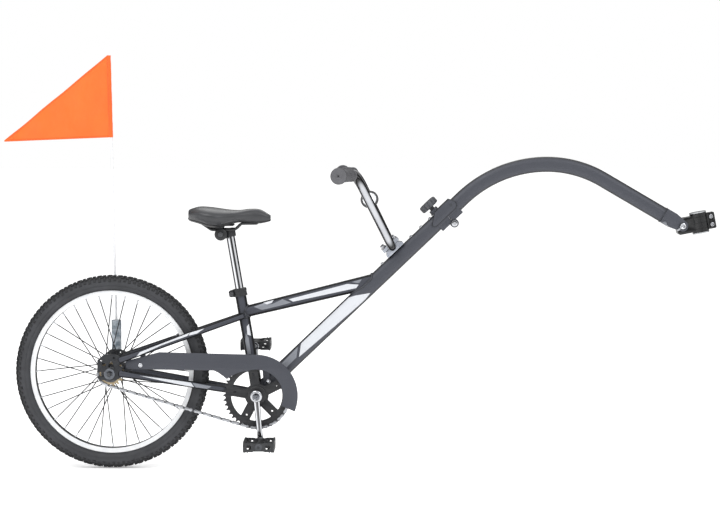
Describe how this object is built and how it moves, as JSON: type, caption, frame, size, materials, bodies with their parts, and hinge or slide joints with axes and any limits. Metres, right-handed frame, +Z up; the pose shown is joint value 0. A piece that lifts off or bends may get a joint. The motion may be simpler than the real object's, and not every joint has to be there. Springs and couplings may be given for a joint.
{
  "type": "trailer bicycle",
  "caption": "Half bicycle for a child, towed from an adult bicycle's seatpost: driven wheel, saddle, handlebar, folding arched tow arm, pivoting hitch and safety flag.",
  "frame": {"origin": "middle of the hitch bushing, where the tow bicycle's seatpost passes through", "axes": "+X forward in the direction of travel, +Y to the rider's left, +Z up; the drive side is -Y"},
  "size_m": [1.8636, 0.6394, 1.0809],
  "materials": {
    "frame_paint": "charcoal metallic paint, satin gloss",
    "black_steel": "black finish",
    "chrome": "polished plating",
    "cast_aluminium": "polished casting",
    "bare_steel": "bright zinc plated",
    "gold_steel": "gold coloured plating",
    "galvanised": "galvanised, blue-grey",
    "tyre_rubber": "matt",
    "grip_rubber": "matt dark grey",
    "saddle_vinyl": "satin vinyl cover over foam",
    "black_plastic": "moulded",
    "white_plastic": "white",
    "flag_cloth": "orange woven nylon"
  },
  "bodies": {
    "frame": {"main_tube": "frame_paint", "seat_tube": "frame_paint", "top_tube": "frame_paint", "bottom_bracket_shell": "frame_paint", "chainstay_right": "frame_paint", "chainstay_left": "frame_paint", "seatstay_right": "frame_paint", "seatstay_left": "frame_paint", "dropout_right": "frame_paint", "dropout_left": "frame_paint", "frame_hinge_leaf": "frame_paint", "chainguard": "frame_paint", "chainguard_bracket_front": "frame_paint", "chainguard_bracket_rear": "frame_paint", "chain": "bare_steel", "bearing_cup_right": "black_steel", "bearing_cup_left": "black_steel", "wheel_axle": "bare_steel", "axle_nut_right": "bare_steel", "axle_nut_left": "bare_steel", "flag_holder": "galvanised", "seat_collar": "black_steel", "bar_clamp_base": "cast_aluminium", "bar_clamp_cap": "cast_aluminium", "bar_bolt_front": "chrome", "bar_bolt_rear": "chrome"},
    "wheel": {"tyre": "tyre_rubber", "rim": "chrome", "hub_and_spokes": "bare_steel"},
    "sprocket": {"freewheel_sprocket": "gold_steel"},
    "crankset": {"chainring": "black_steel", "crank_right": "chrome", "crank_left": "chrome", "crank_spindle": "bare_steel", "pedal_axle_right": "bare_steel", "pedal_axle_left": "bare_steel"},
    "right_pedal": {"pedal_right": "black_plastic"},
    "left_pedal": {"pedal_left": "black_plastic"},
    "post": {"seatpost": "chrome", "saddle_clamp": "black_steel"},
    "seat": {"saddle": "saddle_vinyl", "saddle_rails": "black_steel", "rail_clamp": "black_steel"},
    "steering_bar": {"handlebar": "chrome", "grip_right": "grip_rubber", "grip_left": "grip_rubber", "reflector": "white_plastic"},
    "safety_flag": {"flag_pole": "white_plastic", "flag": "flag_cloth"},
    "arm": {"tow_arm": "frame_paint", "arm_coupler": "frame_paint", "arm_hinge_leaf": "frame_paint", "hinge_bolt": "bare_steel", "arm_fork": "frame_paint"},
    "knob": {"clamp_knob": "black_plastic"},
    "hitch": {"hitch_strap": "black_steel", "hitch_bolt_top": "chrome", "hitch_bolt_bottom": "chrome"},
    "pin": {"hitch_pin": "chrome"},
    "bushing": {"hitch_bushing": "cast_aluminium"}
  },
  "joints": [
    {"name": "arm_fold", "type": "hinge", "parent": "frame", "child": "arm", "pos_m": [-0.63581, 0, -0.00192], "axis": [0, 1, 0], "range_deg": [0, 120]},
    {"name": "knob_turn", "type": "hinge", "parent": "arm", "child": "knob", "pos_m": [-0.66948, 0, 0.01016], "axis": [-0.6909, 0, 0.723], "range_deg": [0, 1080]},
    {"name": "hitch_pitch", "type": "hinge", "parent": "arm", "child": "hitch", "pos_m": [-0.04565, 0, -0.00887], "axis": [0, 1, 0], "range_deg": [-35, 35]},
    {"name": "hitch_pin_pull", "type": "slide", "parent": "arm", "child": "pin", "axis": [0, -1, 0], "range_m": [0, 0.06]},
    {"name": "hitch_yaw", "type": "hinge", "parent": "hitch", "child": "bushing", "pos_m": [0, 0, 0], "axis": [-0.1908, 0, 0.9816], "range_deg": [-85, 85]},
    {"name": "wheel_spin", "type": "hinge", "parent": "frame", "child": "wheel", "pos_m": [-1.52816, 0, -0.3903], "axis": [0, 1, 0], "continuous": true},
    {"name": "crank_spin", "type": "hinge", "parent": "frame", "child": "crankset", "pos_m": [-1.14881, 0, -0.4479], "axis": [0, 1, 0], "continuous": true, "deforming": ["chain"]},
    {"name": "sprocket_spin", "type": "hinge", "parent": "frame", "child": "sprocket", "pos_m": [-1.52816, 0, -0.3903], "axis": [0, 1, 0], "continuous": true},
    {"name": "pedal_right_spin", "type": "hinge", "parent": "crankset", "child": "right_pedal", "pos_m": [-1.13791, -0.066, -0.56539], "axis": [0, 1, 0], "continuous": true},
    {"name": "pedal_left_spin", "type": "hinge", "parent": "crankset", "child": "left_pedal", "pos_m": [-1.15971, 0.066, -0.3304], "axis": [0, 1, 0], "continuous": true},
    {"name": "seatpost_slide", "type": "slide", "parent": "frame", "child": "post", "axis": [-0.1668, 0, 0.986], "range_m": [-0.09, 0.06]},
    {"name": "saddle_tilt", "type": "hinge", "parent": "post", "child": "seat", "pos_m": [-1.24132, 0, -0.03048], "axis": [0, 1, 0], "range_deg": [-12, 12]},
    {"name": "handlebar_tilt", "type": "hinge", "parent": "frame", "child": "steering_bar", "pos_m": [-0.79808, 0, -0.06225], "axis": [0, 1, 0], "range_deg": [-30, 20]},
    {"name": "flag_lift", "type": "slide", "parent": "frame", "child": "safety_flag", "axis": [-0.0192, 0, 0.9998], "range_m": [0, 0.1]}
  ],
  "couplings": [
    {"joint": "sprocket_spin", "follows": "crank_spin", "ratio": 2.625}
  ]
}
